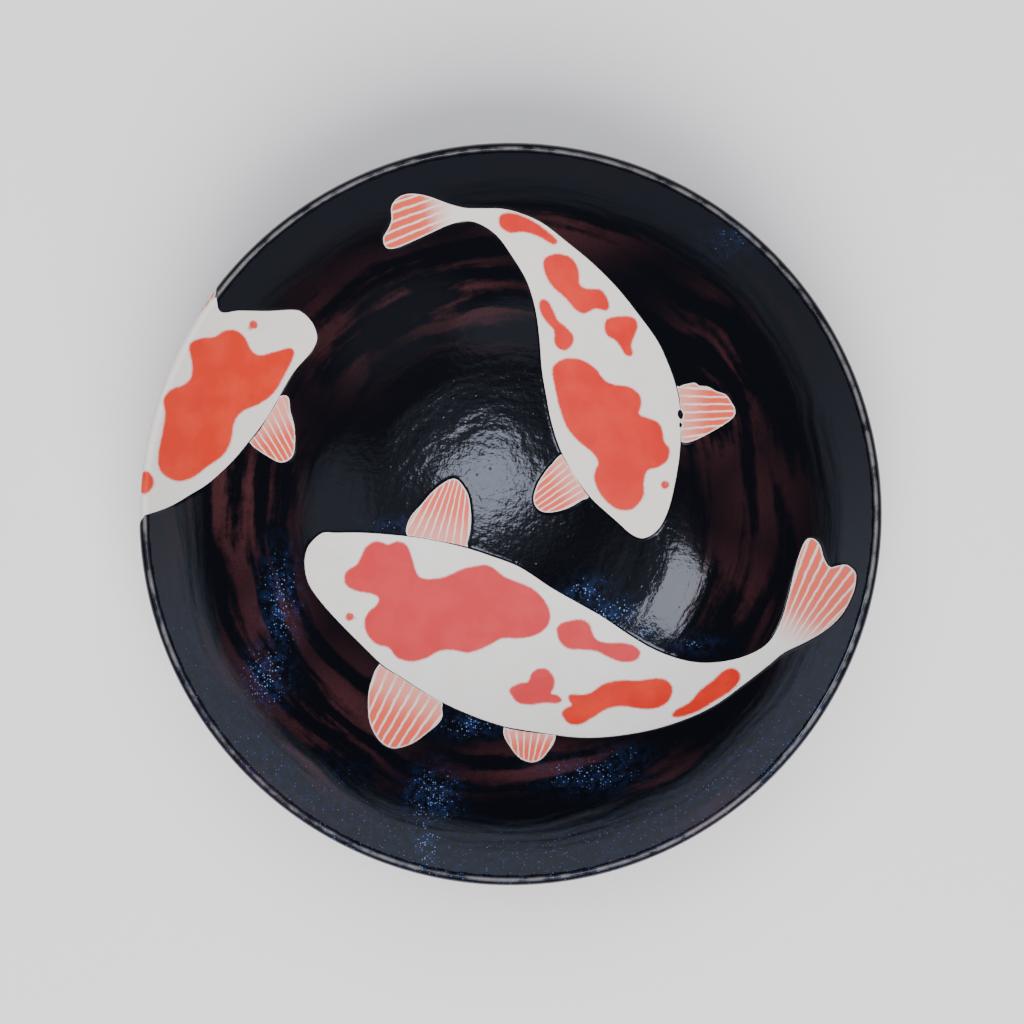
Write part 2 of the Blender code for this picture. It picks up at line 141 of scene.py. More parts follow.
def outside_table():
    """Outer face as travel from the lip's crest, radius, height and normal, all in mm."""
    turns = np.linspace(math.pi / 2.0, WALL_END - math.pi / 2.0, 60)
    roll = np.stack([CREST + LIP * np.cos(turns), LIP_HEIGHT + LIP * np.sin(turns)], axis=1)
    radius = np.linspace(WALL_TOP, 0.0, 400)[1:]
    slope = slope_at(radius)
    reach = FLOOR_THICKNESS + (2.0 * LIP - FLOOR_THICKNESS) * np.minimum(1.0, radius / CREST)
    wall = np.stack([radius + reach * np.sin(slope), height_at(radius) - reach * np.cos(slope)], axis=1)
    line = np.concatenate([roll, wall])
    along = np.gradient(line, axis=0)
    along /= np.linalg.norm(along, axis=1)[:, None]
    travel = np.concatenate([[0.0], np.cumsum(np.linalg.norm(np.diff(line, axis=0), axis=1))])
    return travel, line[:, 0], line[:, 1], -along[:, 1], along[:, 0]


OUTSIDE = outside_table()


def outside_at(travel):
    """Radius, height and normal on the outer face, at a travel from the crest."""
    return [np.interp(travel, OUTSIDE[0], column) for column in OUTSIDE[1:]]


def travel_at(radius):
    """Travel from the crest at which the outer wall narrows to a radius."""
    start = int(np.argmax(OUTSIDE[1]))
    return float(np.interp(-radius, -OUTSIDE[1][start:], OUTSIDE[0][start:]))


def set_out(name, data):
    """Puts a mesh, lamp or camera in the scene."""
    made = bpy.data.objects.new(name, data)
    bpy.context.scene.collection.objects.link(made)
    return made


def lathe(name, profile, steps, made):
    """Closed round piece from a closed profile of (radius, height) points in mm."""
    tool = bmesh.new()
    corners = [tool.verts.new((x * MM, 0.0, z * MM)) for x, z in profile]
    edges = [tool.edges.new(pair) for pair in zip(corners, corners[1:] + corners[:1])
             if pair[0].co.x > 0 or pair[1].co.x > 0]
    bmesh.ops.spin(tool, geom=corners + edges, axis=(0, 0, 1), cent=(0, 0, 0),
                   angle=2.0 * math.pi, steps=steps, use_merge=True)
    bmesh.ops.remove_doubles(tool, verts=tool.verts, dist=0.000002)
    bmesh.ops.recalc_face_normals(tool, faces=tool.faces)
    mesh = bpy.data.meshes.new(name)
    tool.to_mesh(mesh)
    tool.free()
    mesh.materials.append(made)
    mesh.shade_smooth()
    return set_out(name, mesh)


def arc(centre, size, start, end, steps):
    """Points on a circle, between two angles in degrees."""
    return [(centre[0] + size * math.cos(math.radians(a)), centre[1] + size * math.sin(math.radians(a)))
            for a in np.linspace(start, end, steps)]


def under(radius, depth):
    """Point on the underside at a radius, a depth inside the finished face."""
    x, z, nx, nz = outside_at(travel_at(radius))
    return float(x - nx * depth), float(z - nz * depth)


# Its top is sunk into the bowl. Then a flared shoulder, the rounded resting edge, and the inner side.
SINK = 0.9
foot_top = [under(r, SINK) for r in np.linspace(FOOT_INNER - 0.5, FOOT_OUTER + 1.2, 8)]
foot_profile = (
    foot_top
    + [(FOOT_OUTER + 1.0, foot_top[-1][1] - 0.9)]
    + arc((FOOT_OUTER + 1.3, foot_top[-1][1] - 2.6), 1.5, 115, 180, 6)
    + arc((FOOT_OUTER - 2.2, 1.1), 1.1, 0, -90, 8)
    + arc((FOOT_INNER + 2.4, 0.9), 0.9, -90, -180, 8)
    + [(FOOT_INNER - 0.2, foot_top[0][1] - 1.4)]
)
foot = lathe("foot_ring_turned", foot_profile, 192, porcelain)
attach(foot, "root")
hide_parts("foot_ring")

# ----------------------------------------
# How all three koi are painted. White slip under a thin satin glaze, kept clear of the black by
# wax. The red is sprayed through a mask, so its edge is soft and grained; fins and tails are washed
# with red from the tip and scratched through to the white in rays.

# Every koi, fin and patch is a closed line through a few points, in mm from the middle of the bowl
# as seen from above. A koi's section notes its pieces, and the glaze section cuts them all from one
# surface, because glaze and paint share every edge. A step is how far apart corners are, in mm.
LINE_STEP = 0.8
FIN_STEP = 0.6
EYE_RADIUS = 1.05
TIMES = {"operation": "MULTIPLY"}
PLUS = {"operation": "ADD"}
MINUS = {"operation": "SUBTRACT"}


def curve(points, step=LINE_STEP):
    """Smooth closed line through the points, with corners every step mm."""
    corner = np.array(points, dtype=float)
    before, after, beyond = np.roll(corner, 1, 0), np.roll(corner, -1, 0), np.roll(corner, -2, 0)
    share = (np.arange(16) / 16.0)[:, None, None]
    fine = 0.5 * (2.0 * corner + (after - before) * share
                  + (2.0 * before - 5.0 * corner + 4.0 * after - beyond) * share ** 2
                  + (3.0 * corner - before - 3.0 * after + beyond) * share ** 3)
    fine = fine.transpose(1, 0, 2).reshape(-1, 2)
    fine = np.concatenate([fine, fine[:1]])
    travel = np.concatenate([[0.0], np.cumsum(np.linalg.norm(np.diff(fine, axis=0), axis=1))])
    marks = np.linspace(0.0, travel[-1], max(8, int(travel[-1] / step)) + 1)[:-1]
    return np.stack([np.interp(marks, travel, fine[:, 0]), np.interp(marks, travel, fine[:, 1])], axis=1)


def circle(centre, radius, count):
    """Corners of a circle, anticlockwise."""
    turns = np.arange(count) * 2.0 * math.pi / count
    return np.stack([centre[0] + radius * np.cos(turns), centre[1] + radius * np.sin(turns)], axis=1)


def koi_material(name, red, deep, white):
    """One finish for slip, spray and wash. Facts on the mesh say where each of them lies."""
    made, add, place = start_material(name)
    # Spray leaves grain about 0.5 mm wide. The slip drifts in tone over 9 mm, rays waver over 3 mm
    # and the satin glaze ripples over 1.4 mm, drawn coarser than it is so that it shows.
    grain = add("TexNoise", place, 1.0 / (0.526 * MM))
    drift = add("TexNoise", place, 1.0 / (9.09 * MM), 3.0)
    waver = add("TexNoise", place, 1.0 / (3.03 * MM), 3.0)
    ripple = add("TexNoise", place, 1.0 / (1.43 * MM))
    centred = add("Math", grain, 0.5, **MINUS)
    patch_mm, rim_mm = [add("Attribute", attribute_name=fact).outputs["Fac"]
                        for fact in ("patch_mm", "rim_mm")]
    ray = add("SeparateXYZ", add("Attribute", attribute_name="ray").outputs["Vector"]).outputs
    # Sprayed red, with a few paler grains.
    edge = add("Math", patch_mm, add("Math", centred, 0.9, **TIMES), **PLUS)
    sprayed = add("MapRange", edge, -0.5, 0.55, **SMOOTH)
    tint = add("Mix", add("MapRange", drift, 0.35, 0.70, **SMOOTH), linear(red[0]), linear(red[1]), **RGBA)
    tint = add("Mix", add("MapRange", grain, 0.62, 0.85, 0.0, 0.14, **SMOOTH),
               tint, linear("#DC8E80"), **RGBA)
    # Rays scratched through the wash: white where the ray number is near a whole number.
    shake = add("Math", add("Math", waver, 0.5, **MINUS), 0.28, **TIMES)
    across = add("Math", ray[0], shake, **PLUS)
    whole = add("Math", across, operation="ROUND")
    off = add("Math", add("Math", across, whole, **MINUS), operation="ABSOLUTE")
    off = add("Math", off, add("Math", centred, 0.10, **TIMES), **PLUS)
    scratch = add("Math", add("MapRange", off, 0.18, 0.08, **SMOOTH),
                  add("MapRange", ray[1], 0.02, 0.22, 0.45, 1.0, **SMOOTH), **TIMES)
    # The wash deepens from root to tip and stops short of the glaze.
    wash = add("Mix", add("MapRange", ray[1], 0.02, 0.62, **SMOOTH),
               linear("#DC8E80"), linear(deep), **RGBA)
    border = add("Math", rim_mm, add("Math", centred, 0.5, **TIMES), **PLUS)
    border = add("MapRange", border, 0.05, 0.65, **SMOOTH)
    left_over = add("Math", 1.0, add("Math", scratch, 0.85, **TIMES), **MINUS)
    share = add("Math", add("Math", ray[2], border, **TIMES), left_over, **TIMES)
    ground = add("Mix", add("MapRange", drift, 0.3, 0.8, 0.0, 0.35, **SMOOTH),
                 linear(white), linear("#CFCAC4"), **RGBA)
    colour = add("Mix", sprayed, add("Mix", share, ground, wash, **RGBA), tint, **RGBA)
    cut = add("Math", add("Math", scratch, ray[2], **TIMES), 0.8, **TIMES)
    relief = add("Math", add("Math", ripple, 0.35, **TIMES), cut, **MINUS)
    bump = add("Bump", named={"Strength": 0.5, "Distance": 0.12 * MM, "Height": relief})
    add("OutputMaterial", add("BsdfPrincipled", named={
        "Base Color": colour, "Roughness": 0.36, "IOR": 1.45, "Normal": bump}))
    return made


def koi_finishes(koi, red, deep, fin_deep, white):
    """A koi's slip with its tail, its sprayed red, and its fin wash."""
    return [koi_material(koi + name, red, tip, white)
            for name, tip in (("_slip", deep), ("_red", deep), ("_fin_wash", fin_deep))]


def fan_of_rays(focus, first, last, count, root, tip, reach=None):
    """Ray number, travel from root to tip, and how much wash, for the points of a fin or tail.
    Rays run towards the focus; the first and last pass through the points given. With a reach
    the wash sets in between those two shares of the travel."""
    ahead = (np.array(first, float) + last) / 2.0 - focus

    def bearing(places):
        away = places - focus
        return np.arctan2(ahead[0] * away[:, 1] - ahead[1] * away[:, 0], away @ ahead)

    def measure(used):
        places = space[used][:, :2]
        ends = bearing(np.array([first, last], float))
        number = (bearing(places) - ends[0]) / (ends[1] - ends[0]) * (count - 1)
        along = np.array(tip, float) - root
        travel = (places - root) @ along / (along @ along)
        weight = np.ones(len(used))
        if reach is not None:
            weight = np.clip((travel - reach[0]) / (reach[1] - reach[0]), 0, 1)
        return np.column_stack([number, travel, weight])

    return measure


bodies, fins, patches, eyes, painted = {}, {}, {}, {}, []


def paint(node, made, slot, rays=None, also=()):
    """Notes a painted piece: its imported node, finish, slot and rays, and other nodes it replaces."""
    painted.append((node, made, slot, rays, [node, *also]))


def add_fin(koi, part, made, points, *fan):
    """Notes a fin, with its outline and its fan of rays."""
    node = koi + "_koi_" + part
    fins[node] = (koi, curve(points, FIN_STEP))
    paint(node, made, "fin_wash", fan_of_rays(*fan))


def add_eye(koi, made, centre):
    """Notes a koi's eye, a round red dot."""
    node = koi + "_koi_eye"
    eyes[node] = circle(centre, EYE_RADIUS, 16)
    paint(node, made, "red_stain")


def add_patches(koi, finishes, outlines):
    """Notes a koi's red patches, numbered in the order given."""
    for number, (made, points) in enumerate(zip(finishes, outlines), start=1):
        node = koi + "_koi_patch_" + str(number)
        patches[node] = curve(points)
        paint(node, made, "red_stain")


# ----------------------------------------
# Left koi. Its front half is painted inside the bowl, and it runs over the lip and on down the
# outside wall in one piece.

# On the outside wall a point is degrees round the bowl and mm down from the lip. TURN is the mm in
# a degree, and the two rays are the mm from one scratch to the next.
TURN = RIM * math.pi / 180.0
TAIL_RAY = 3.6
FAR_FIN_RAY = 3.4
left_slip, left_stain, left_wash = koi_finishes(
    "left_koi", ("#C62E1C", "#CE3A26"), "#D9604B", "#D8543F", "#DAD4CE")
bodies["left"] = curve([
    (-100.4, 74.7), (-98.1, 68.4), (-92, 69), (-83, 69.3), (-74.5, 70), (-71.5, 69.2), (-68.6, 66.3),
    (-67.2, 63.2), (-66.9, 60.4), (-68, 57.6), (-70, 54.8), (-73.8, 50.6), (-77, 46), (-82.7, 35.8),
    (-86.5, 30), (-90, 25.4), (-94.6, 19.5), (-100, 13.8), (-104.5, 9.8), (-109, 6.8), (-114.8, 3),
    (-120, 0.7), (-124.9, -0.8), (-130, -2), (-134, 20), (-128, 50), (-112, 74)])
REAR = [
    (143.55, -4), (143.75, -1), (147.3, 2), (150.5, 10), (157, 23), (169, 31), (182, 34), (192, 37),
    (199, 44), (206, 54), (211, 57), (213, 51), (210.5, 43), (215, 37), (213, 31), (205, 28), (197, 26),
    (190, 16), (185, 8), (181.2, 2), (180.4, -1), (180.4, -4)]


def wall_places(used):
    """Places on the outside wall, in mm round the bowl and mm down, with zeros for the inside."""
    places = np.zeros((len(used), 2))
    outer = used >= len(plan)
    places[outer] = wrap[used[outer] - len(plan)]
    return places


def rear_tail(used):
    """Tail rays run round the bowl. The wash sets in at 198 degrees and is full 7 degrees on."""
    places = wall_places(used)
    number = (places[:, 1] - 0.35 * (places[:, 0] - 205.0 * TURN)) / TAIL_RAY
    travel = (places[:, 0] / TURN - 198.0) / 14.0
    return np.column_stack([number, travel, np.clip(travel / 0.5, 0.0, 1.0)])


paint("left_koi_body", left_slip, "white_slip", rear_tail, ["left_koi_outer_rear"])

# Its red: the back, a spot that the lip cuts, two patches on the outside, and the eye.
patches["left_koi_patch"] = curve([
    (-108.3, 57), (-105, 59.3), (-100.3, 60.2), (-97.3, 62.2), (-93.5, 62.6), (-90.6, 60.4), (-88.6, 56.2),
    (-86, 54.6), (-81.5, 55.8), (-76.3, 57.3), (-74.6, 56.3), (-75.3, 53), (-78.3, 47.3), (-81.6, 41.8),
    (-86.3, 38), (-92, 35.2), (-94.7, 31.5), (-96, 25), (-98.5, 20.2), (-104, 15.8), (-109, 12),
    (-114, 11.2), (-118.4, 14.5), (-119, 20), (-117.5, 28), (-116.6, 34), (-117, 38.7), (-114.5, 42),
    (-110.5, 43.9), (-108.2, 46.5), (-107.8, 51)])
patches["left_koi_lip_spot"] = curve([
    (-120.2, 10.8), (-121.2, 13.6), (-123.6, 15.2), (-126.5, 15), (-128.5, 11), (-126.5, 6.6),
    (-123.6, 6.3), (-121.2, 8)])
REAR_PATCH = [
    (164, 8), (171, 5), (180, 9), (186, 15), (190, 22), (188, 28), (181, 27), (174, 22), (166, 19),
    (161, 14)]
REAR_SPOT = [(193, 30), (198, 31), (202, 36), (200, 40), (195, 37)]
for node in ("left_koi_patch", "left_koi_lip_spot"):
    paint(node, left_stain, "red_stain")
add_eye("left", left_stain, (-87.7, 64.6))

# Its fins: one inside, and the far one on the outside wall.
add_fin("left", "fin", left_wash, [
    (-77.6, 41), (-76.3, 35.5), (-75.1, 30.5), (-74.9, 25), (-75.6, 20.5), (-77.6, 18.4), (-80.4, 18),
    (-84.2, 20), (-87.7, 22.4), (-89.4, 24), (-92, 29), (-85, 38)],
    (-58, -17), (-77.6, 29.7), (-86.5, 23.5), 6, (-84, 33), (-78, 20))
FAR_FIN = [
    (143.6, 0.5), (142, 3.5), (139, 10), (136.3, 17), (136, 22), (138, 26), (142, 26.5), (148, 24),
    (155, 24), (150, 8), (146.5, 0.5)]


def far_fin_rays(used):
    """Leaning rays, washed all over, from the root at 150 degrees to the tip at 138."""
    places = wall_places(used)
    number = (places[:, 0] + 0.75 * places[:, 1]) / FAR_FIN_RAY
    root = (150.0 * TURN, 6.0)
    along = np.array((138.0 * TURN, 24.0), float) - root
    travel = (places - root) @ along / (along @ along)
    return np.column_stack([number, travel, np.ones(len(used))])


paint("left_koi_far_fin", left_wash, "fin_wash", far_fin_rays)

# ----------------------------------------
# Upper koi. The whole fish, curled along the wall with its head on the floor. Glaze has run over
# the root of its right fin in two small drops.
upper_slip, upper_stain, upper_wash = koi_finishes(
    "upper_koi", ("#C2261C", "#CB3026"), "#D5543F", "#D9543F", "#DCD7D1")
bodies["upper"] = curve([
    (-43.6, 94.6), (-41.8, 97.6), (-40.6, 100.5), (-40.6, 104.3), (-38.8, 107), (-35.5, 108.6),
    (-31, 108.7), (-26.5, 107.7), (-21, 105.9), (-15.5, 104.7), (-10, 104.6), (-3, 104.5), (3.3, 103.1),
    (11, 99.8), (19, 94), (28.2, 86.7), (37, 78.2), (44.3, 69.3), (50.8, 60.5), (54.6, 52.8), (57.3, 45.5),
    (58.9, 38.5), (59.4, 31), (59.2, 22.7), (58.2, 14.6), (56.5, 6), (55, 0.8), (52.6, -4.2), (49.5, -7.3),
    (45.8, -8.5), (42, -6.8), (38, -3.2), (33.5, 0.8), (28.2, 5.8), (22.4, 13.7), (17.5, 22.8),
    (14.3, 32.6), (12.5, 41.8), (11, 50.5), (10.3, 59.5), (9.3, 68), (7.8, 74.8), (5.2, 81.8), (0.5, 89.2),
    (-4.3, 95.5), (-9.6, 99.2), (-14.6, 100.5), (-21, 99.3), (-29, 95.8), (-37.2, 92.2), (-41, 91.1),
    (-43, 91.8)])
paint("upper_koi_body", upper_slip, "white_slip",
      fan_of_rays((90, 147), (-36, 104.2), (-36, 95.6), 4, (-19, 103), (-40, 99), (0.0, 0.45)))
add_patches("upper", [upper_stain] * 5, [
    [(-4.2, 100.8), (-3.2, 102.8), (0.5, 103.3), (4.5, 102.2), (9, 100), (13.5, 96.8), (16.2, 94.3),
     (15.4, 92.8), (13, 93.6), (9.3, 95.6), (4.5, 96.9), (0, 96.7), (-3.2, 98.3)],
    [(11.2, 86.9), (12.4, 89), (16, 90), (20.3, 89), (22.8, 86.5), (23.9, 83), (24.1, 79.8), (26.5, 78.3),
     (31, 78), (33.6, 75.2), (34.4, 71.8), (32.8, 70.6), (29.5, 71.3), (25.7, 69.7), (22.6, 71), (19, 75),
     (14.6, 78.8), (12, 83)],
    [(9.9, 73.6), (11.2, 74.9), (13.2, 74), (15, 71), (16.6, 67.6), (19.5, 65.3), (22, 62.2), (21.7, 59.3),
     (19.5, 57.2), (17, 57.6), (15.2, 60), (15, 64), (12.4, 67), (10.3, 70.3)],
    [(32.9, 67), (34.3, 68.3), (38.8, 68.9), (42.7, 68.3), (44.3, 65.8), (43.3, 62), (42.2, 59), (42.8, 56),
     (41.7, 54.9), (39.8, 55.6), (38.4, 58), (36.5, 60.4), (33.8, 62), (32.7, 64.5)],
    [(14.5, 50), (15.6, 52.6), (19.4, 54.6), (25, 54), (29.8, 51), (33, 47), (36.6, 45.4), (41.5, 44.6),
     (45, 42), (45.9, 38.8), (45.2, 35), (48.5, 33.6), (52, 31.8), (53.3, 28.8), (53.9, 25.5), (55.8, 22.5),
     (54.8, 18.4), (51.5, 16.2), (48, 15), (46.9, 11), (46.8, 6.5), (44, 2.4), (40.5, 1.1), (36, 2.3),
     (31.6, 6.8), (29.3, 12), (29.7, 15.5), (30.7, 18), (28.8, 21.3), (23.2, 26), (19.5, 30.8), (17, 37.5),
     (15.5, 44)]])
add_eye("upper", upper_stain, (54.1, 10.2))
add_fin("upper", "right_fin", upper_wash, [
    (57.5, 43), (58.8, 44.3), (60.3, 45), (64, 45.6), (65.5, 44.6), (68.5, 44.2), (71.4, 42.6),
    (74.6, 41.3), (76.6, 38.6), (77.8, 36.2), (77.4, 33.8), (74.6, 31.4), (70.5, 28.9), (66, 26.5),
    (62, 25), (60, 25.2), (57, 26.5)],
    (150, 37), (68, 43.4), (68, 30.3), 6, (59, 36), (77, 36))
add_fin("upper", "left_fin", upper_wash, [
    (19, 21), (14.2, 17.2), (11.5, 13.8), (9.3, 10), (8.1, 5.6), (8.9, 2.6), (11.3, 0.8), (15.3, 0.7),
    (20.5, 2.2), (25, 4.8), (27.5, 6.5), (25.5, 14)],
    (-29, -24), (15.2, 15.3), (18.8, 4.3), 6, (23, 13), (9, 4))
DROP_STEP = 0.3
drops = [curve(points, DROP_STEP) for points in (
    [(58.6, 36.2), (59.4, 36.3), (60.2, 35), (60, 33.4), (59.1, 33.2), (58.3, 34.6)],
    [(59.0, 31.9), (59.6, 31.8), (59.9, 31.0), (59.5, 30.2), (58.9, 30.6)])]

# ----------------------------------------
# Lower koi. The largest fish, lying across the floor with its tail up the right-hand wall. Its
# red is pinker on the floor, and the two patches nearest the tail are a brighter red.
lower_slip, lower_stain, lower_wash = koi_finishes(
    "lower_koi", ("#C22C32", "#C9363A"), "#DE6350", "#DF5B47", "#E0DDD9")
lower_bright = koi_material("lower_koi_red_bright", ("#C42412", "#D03420"), "#DE6350", "#E0DDD9")
bodies["lower"] = curve([
    (-71.7, -17.6), (-71, -12.5), (-69, -9.3), (-65.5, -6.6), (-61, -6.6), (-52, -6.6), (-40, -7.5),
    (-29.7, -8.8), (-17, -11.6), (-7, -14.8), (3.3, -18.8), (14.2, -25.9), (23, -30.9), (32.2, -36.1),
    (41, -42), (49.5, -47), (58.6, -50.4), (67, -51.6), (76, -50.5), (83.5, -47.8), (88.8, -44),
    (92.6, -37.5), (95.2, -29.5), (97.2, -21.3), (99.2, -13.8), (101.3, -9), (103.5, -8.3), (105.8, -10.5),
    (107, -15), (108.8, -18), (111.2, -17.6), (114, -17.2), (116.4, -19.3), (116.8, -22), (115.7, -27),
    (112.2, -34), (107, -39.4), (100.5, -43.7), (93.5, -47.5), (88.3, -52), (79.6, -59), (71, -65.4),
    (62, -70.1), (51, -74), (40.5, -76.3), (30, -77.5), (21, -77.4), (12.3, -76.3), (3.3, -75),
    (-2.8, -73.8), (-12, -70.8), (-22.5, -66.3), (-31.2, -61.4), (-38.2, -56.8), (-44.5, -52.8),
    (-52, -45.6), (-59.8, -37.7), (-66, -30.7), (-70.3, -24.2)])
paint("lower_koi_body", lower_slip, "white_slip",
      fan_of_rays((83, -65), (100.3, -22.8), (113.6, -27), 6, (92, -44), (107, -14), (0.0, 0.35)))
add_patches("lower", [lower_stain] * 3 + [lower_bright] * 2, [
    [(-58.2, -21.8), (-57, -19.5), (-54, -17.6), (-52.3, -14.5), (-50.8, -11.5), (-47.8, -9.6), (-45, -9.8),
     (-43, -10.6), (-39.8, -9.5), (-36.5, -10.8), (-34.6, -15), (-33.2, -19.8), (-31.5, -22.2),
     (-28, -22.7), (-23, -21.9), (-16.4, -19.1), (-9, -17.8), (-5.5, -19.3), (-2, -22), (3, -24),
     (8, -26.3), (12, -30.3), (14, -35), (13, -39.5), (8.5, -42.8), (2.5, -43.8), (-3, -43.8),
     (-8.2, -46.5), (-14.5, -48.7), (-20.5, -47.8), (-25, -48.2), (-29.6, -50.6), (-34.8, -51.7),
     (-39.8, -50.3), (-42.6, -46.9), (-47, -45.5), (-50.2, -42), (-51.2, -38), (-50, -34.5), (-46.9, -31.6),
     (-46.4, -29.3), (-49, -28), (-54, -27), (-57.5, -25)],
    [(16, -40.8), (17.3, -38.6), (20, -37.5), (24.5, -36.9), (27.5, -38.3), (28.9, -41.8), (30.4, -44),
     (34, -45), (39.8, -45), (43.8, -46.3), (45.4, -48.6), (43.8, -51.2), (39, -51.8), (34.5, -50.3),
     (30, -48.2), (25, -47.6), (20.4, -47.4), (17.3, -45)],
    [(-0.5, -62), (0.5, -60.4), (3.5, -59), (6, -58.6), (7.2, -55.8), (9.8, -54), (13, -54.4),
     (15.4, -57.5), (15.2, -60.8), (14.2, -62.6), (16.5, -63.2), (18, -64.9), (16.3, -66.2), (11.8, -66.1),
     (6.5, -66.7), (2.2, -65.8)],
    [(17.8, -70), (18.8, -67.8), (21.2, -66.6), (20.2, -65), (20.6, -63), (25.5, -62.9), (28.6, -61.8),
     (32.5, -59.2), (38.2, -57.9), (44.5, -57.9), (51.5, -57), (55, -58.2), (56.3, -61), (55, -64.7),
     (51.3, -67.2), (46, -67.8), (38.8, -67), (33.6, -68), (28.5, -71), (24.5, -73.2), (20.4, -73.1)],
    [(55.7, -69.7), (57.3, -67.5), (61.8, -65), (65.3, -61), (69.6, -57.6), (73.2, -54.3), (76.4, -53),
     (79, -54.6), (78.7, -57.8), (75.5, -61.2), (70.5, -64.5), (64.5, -68.2), (59.5, -70), (56.8, -70.3)]])
add_eye("lower", lower_stain, (-56.2, -35.9))
add_fin("lower", "top_fin", lower_wash, [
    (-20.8, 12.3), (-18.7, 12), (-16.8, 10), (-15, 6.8), (-14.2, 2.8), (-13.9, -2), (-14.3, -6.3),
    (-15.2, -9.8), (-16.8, -13), (-33, -11), (-36.3, -7.4), (-36.6, -4.8), (-35, -0.8), (-31.5, 3.2),
    (-27.5, 7.8), (-23.8, 10.8)],
    (-13, 34.5), (-30.5, -0.3), (-16.7, -1.2), 7, (-25, -9), (-20, 11))
add_fin("lower", "side_fin", lower_wash, [
    (-43.5, -51.5), (-46.6, -53.6), (-48.2, -57.4), (-49.3, -62), (-49.4, -67), (-48.9, -71.5),
    (-47.3, -75.5), (-44.6, -79), (-41, -80.9), (-37, -80.5), (-33, -78.9), (-29, -76), (-25.5, -73.2),
    (-23.8, -70.6), (-23.9, -68), (-24.8, -64.5), (-35, -56)],
    (-83, -147), (-46.4, -63), (-30, -72.7), 7, (-34, -61), (-43, -79))
add_fin("lower", "belly_fin", lower_wash, [
    (-2.5, -75.4), (-1.9, -78), (-0.5, -80.3), (1.5, -83), (4, -85.1), (7.4, -86), (10.5, -85),
    (12.8, -82.6), (14.7, -80), (15.6, -77.5), (15, -74.5), (6, -73), (-1, -72.5)],
    (4.5, -98), (0.2, -80), (11.5, -80), 6, (6.5, -75.5), (6.5, -85))

# ----------------------------------------
# Black glaze coat. One thick iron and cobalt glaze, poured over the bowl round the waxed koi. It
# is near black and mirror-bright, dimpled on the floor where it pooled, breaks to maroon in rings
# along the throwing lines, and floats specks of blue where the cobalt gathered. The blue haze on
# the lower rim band is a painted reflection of the pale horizon.

# Sizes in mm. The glaze stands proud of the slip with a rounded edge, and past END on its way down
# the outside it rolls in to the foot. Corners are packed beside each edge so that its roundness
# shows, and the rest of the surface is an even grid.
GLAZE_RISE = 0.32
GLAZE_EDGE = 0.9
DROP_RISE = 0.55
FOOT_ROLL = 0.5
FOOT_ROLL_TRAVEL = 0.8
END = travel_at(FOOT_OUTER + 1.4)
CLOSE = 1.6
EDGE_REACHES = (0.18, 0.42, 0.8, 1.5)
RED_REACHES = (0.9, -0.9)
GRID_STEP = 2.0
ROW_CLEAR = 0.8
GRID_CLEAR = 0.75
RING_CORNERS = 720
LIP_CORNERS = 480
LIP_ROW = 0.26
EYE_SPRAY = 0.45
HAIRLINE = 0.30


def grow(line, distance):
    """Moves a closed line outward by a distance, which may differ from point to point."""
    along = np.roll(line, -1, 0) - np.roll(line, 1, 0)
    along /= np.maximum(np.linalg.norm(along, axis=1), 1e-9)[:, None]
    side = np.stack([along[:, 1], -along[:, 0]], axis=1)
    after = np.roll(line, -1, 0)
    turn = np.sign(np.sum(line[:, 0] * after[:, 1] - after[:, 0] * line[:, 1]))
    return line + side * turn * np.reshape(distance, (-1, 1))


def inside(places, line):
    """True for each place inside a closed line."""
    found = np.zeros(len(places), bool)
    low, high = line.min(0), line.max(0)
    near = np.flatnonzero(((places > low) & (places < high)).all(1))
    after = np.roll(line, -1, 0)
    for group in np.array_split(near, max(1, len(near) // 2000)):
        x, y = places[group, 0][:, None], places[group, 1][:, None]
        crosses = (line[:, 1] > y) != (after[:, 1] > y)
        rise = np.where(after[:, 1] == line[:, 1], 1.0, after[:, 1] - line[:, 1])
        reach = line[:, 0] + (y - line[:, 1]) * (after[:, 0] - line[:, 0]) / rise
        found[group] = (crosses & (x < reach)).sum(1) % 2 == 1
    return found


def distance(places, line, most=6.0):
    """Distance from each place to a closed line, no more than most."""
    found = np.full(len(places), most)
    near = np.flatnonzero(((places > line.min(0) - most) & (places < line.max(0) + most)).all(1))
    along = np.roll(line, -1, 0) - line
    size = np.maximum((along ** 2).sum(1), 1e-12)
    for group in np.array_split(near, max(1, len(near) // 1500)):
        offset = places[group][:, None, :] - line
        share = np.clip((offset * along).sum(2) / size, 0.0, 1.0)[..., None]
        gap = np.linalg.norm(offset - along * share, axis=2).min(1)
        found[group] = np.minimum(gap, most)
    return found


def search_tree(points):
    """Finds the nearest of several flat points."""
    tree = kdtree.KDTree(len(points))
    for index, point in enumerate(points):
        tree.insert((*point, 0.0), index)
    tree.balance()
    return tree


def triangulate(lines, rows, grid):
    """Flat triangulation that keeps the lines' edges. rows and grid are loose points, each with its
    spacing. One is left out if it lies too close, for its spacing, to what is already there."""
    fixed = np.concatenate([line for line, _ in lines])
    edges, start = [], 0
    for line, closed in lines:
        count = len(line)
        edges += [(start + i, start + (i + 1) % count) for i in range(count if closed else count - 1)]
        start += count
    kept = list(map(tuple, fixed))
    tree = search_tree(kept)
    kept += [(x, y) for x, y, spacing in rows if tree.find((x, y, 0.0))[2] >= spacing * ROW_CLEAR]
    tree = search_tree(kept)
    kept += [(x, y) for x, y, spacing in grid if tree.find((x, y, 0.0))[2] > spacing * GRID_CLEAR]
    places = [Vector(p) for p in kept]
    found = geometry.delaunay_2d_cdt(places, edges, [], 0, 1e-5)
    return np.array([tuple(p) for p in found[0]]), np.array(found[2])


def beside(several, reaches, spacing=None):
    """Loose points alongside lines at each reach, as far apart as that reach unless told."""
    return [(x, y, spacing or abs(reach))
            for line in several for reach in reaches for x, y in grow(line, reach)]


